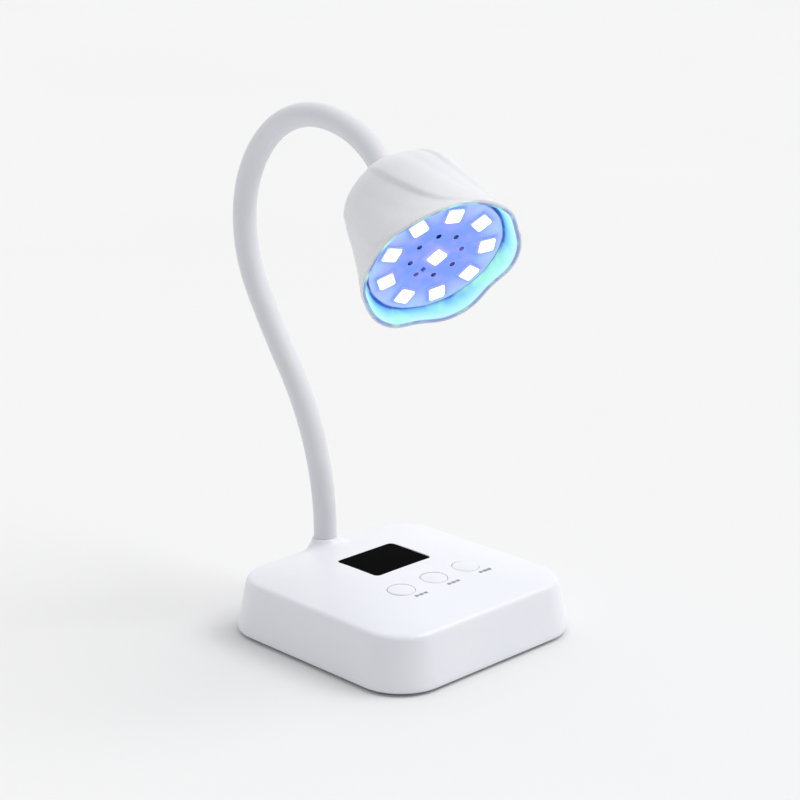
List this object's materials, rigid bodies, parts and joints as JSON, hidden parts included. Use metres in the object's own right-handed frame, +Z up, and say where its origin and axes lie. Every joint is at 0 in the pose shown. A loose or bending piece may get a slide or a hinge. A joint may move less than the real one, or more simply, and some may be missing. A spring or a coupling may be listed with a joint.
{
  "type": "uv curing lamp",
  "caption": "Desk curing lamp: rounded square base with a black display and push buttons, a white gooseneck, and a bell head with a petal lip round ultraviolet LEDs.",
  "frame": {"origin": "centre of the foot print of the base, on the table", "axes": "+Z up, +Y towards the back where the gooseneck stands, +X to the right of a person who faces the buttons"},
  "size_m": [0.11, 0.1611, 0.2167],
  "materials": {
    "white_abs": "satin white ABS",
    "grey_abs": "light grey ABS",
    "pad_rubber": "matt dark grey silicone rubber",
    "zinc_steel": "zinc plated steel",
    "mild_steel": "grey primed mild steel",
    "battery_film": "blue shrink film over a lithium cell",
    "red_wire": "PVC insulated wire",
    "black_wire": "PVC insulated cable",
    "circuit_board": "glass epoxy board with green solder mask",
    "black_plastic": "black moulded plastic",
    "display_black": "glossy black acrylic",
    "nickel_steel": "nickel plated steel",
    "brass": "turned brass",
    "white_silicone": "satin white silicone sleeve",
    "wound_steel": "wound spring steel",
    "white_buttons": "satin white ABS",
    "cyan_ring": "translucent pale blue polycarbonate",
    "led_board_mask": "aluminium board with solder mask in violet-blue light",
    "led_emitter": "lit ultraviolet LED packages",
    "aluminium": "raw aluminium"
  },
  "bodies": {
    "base": {"base_top_shell": "white_abs", "base_bottom_cover": "grey_abs", "non_slip_pad": "pad_rubber", "case_screws": "zinc_steel", "weight_plate": "mild_steel", "battery_cell": "battery_film", "battery_leads": "red_wire", "main_board": "circuit_board", "board_components": "black_plastic", "board_screws": "zinc_steel", "display_window": "display_black", "display_module": "black_plastic", "tact_switches": "black_plastic", "usb_socket": "nickel_steel", "neck_ferrule_lower": "brass", "neck_set_screws": "zinc_steel", "base_lead": "black_wire", "neck_sleeve_base": "white_silicone", "neck_core_base": "wound_steel"},
    "button_1": {"button_cap_1": "white_buttons", "switch_plunger_1": "black_plastic"},
    "button_2": {"button_cap_2": "white_buttons", "switch_plunger_2": "black_plastic"},
    "button_3": {"button_cap_3": "white_buttons", "switch_plunger_3": "black_plastic"},
    "neck_link_1": {"neck_sleeve_1": "white_silicone", "neck_core_1": "wound_steel", "neck_lead_1": "black_wire"},
    "neck_link_2": {"neck_sleeve_2": "white_silicone", "neck_core_2": "wound_steel", "neck_lead_2": "black_wire"},
    "neck_link_3": {"neck_sleeve_3": "white_silicone", "neck_core_3": "wound_steel", "neck_lead_3": "black_wire"},
    "neck_link_4": {"neck_sleeve_4": "white_silicone", "neck_core_4": "wound_steel", "neck_lead_4": "black_wire"},
    "neck_link_5": {"neck_sleeve_5": "white_silicone", "neck_core_5": "wound_steel", "neck_lead_5": "black_wire"},
    "neck_link_6": {"neck_sleeve_6": "white_silicone", "neck_core_6": "wound_steel", "neck_lead_6": "black_wire"},
    "neck_link_7": {"neck_sleeve_7": "white_silicone", "neck_core_7": "wound_steel", "neck_lead_7": "black_wire"},
    "head": {"head_shell": "white_abs", "mouth_ring": "cyan_ring", "led_board": "led_board_mask", "uv_leds": "led_emitter", "board_thermistor": "black_plastic", "heat_sink": "aluminium", "heat_sink_screws": "zinc_steel", "neck_ferrule_upper": "brass", "neck_nut_upper": "brass", "neck_sleeve_head": "white_silicone", "neck_core_head": "wound_steel", "head_lead": "black_wire"}
  },
  "joints": [
    {"name": "neck_1_nod", "type": "hinge", "parent": "base", "child": "neck_link_1", "pos_m": [0, 0.0475, 0.032], "axis": [1, 0, 0], "range_deg": [-25, 35]},
    {"name": "neck_2_sway", "type": "hinge", "parent": "neck_link_1", "child": "neck_link_2", "pos_m": [0, 0.05312, 0.06853], "axis": [0, 0.9537, -0.3007], "range_deg": [-35, 35]},
    {"name": "neck_3_nod", "type": "hinge", "parent": "neck_link_2", "child": "neck_link_3", "pos_m": [0, 0.06961, 0.10159], "axis": [-1, 0, 0], "range_deg": [-40, 40]},
    {"name": "neck_4_sway", "type": "hinge", "parent": "neck_link_3", "child": "neck_link_4", "pos_m": [0, 0.08953, 0.13287], "axis": [0, -0.8704, 0.4924], "range_deg": [-35, 35]},
    {"name": "neck_5_nod", "type": "hinge", "parent": "neck_link_4", "child": "neck_link_5", "pos_m": [0, 0.09633, 0.16867], "axis": [1, 0, 0], "range_deg": [-40, 15]},
    {"name": "neck_6_sway", "type": "hinge", "parent": "neck_link_5", "child": "neck_link_6", "pos_m": [0, 0.079, 0.20058], "axis": [0, 0.6561, 0.7547], "range_deg": [-35, 35]},
    {"name": "neck_7_nod", "type": "hinge", "parent": "neck_link_6", "child": "neck_link_7", "pos_m": [0.00031, 0.0446, 0.21143], "axis": [-0.9999, -0.0162, 0.0051], "range_deg": [-15, 40]},
    {"name": "head_turn", "type": "hinge", "parent": "neck_link_7", "child": "head", "pos_m": [-0.00347, 0.01035, 0.19896], "axis": [0.043, 0.5557, -0.8303], "range_deg": [-35, 35]},
    {"name": "button_1_press", "type": "slide", "parent": "base", "child": "button_1", "axis": [0, 0, -1], "range_m": [0, 0.0005], "stiffness_N_per_m": 800},
    {"name": "button_2_press", "type": "slide", "parent": "base", "child": "button_2", "axis": [0, 0, -1], "range_m": [0, 0.0005], "stiffness_N_per_m": 800},
    {"name": "button_3_press", "type": "slide", "parent": "base", "child": "button_3", "axis": [0, 0, -1], "range_m": [0, 0.0005], "stiffness_N_per_m": 800}
  ]
}
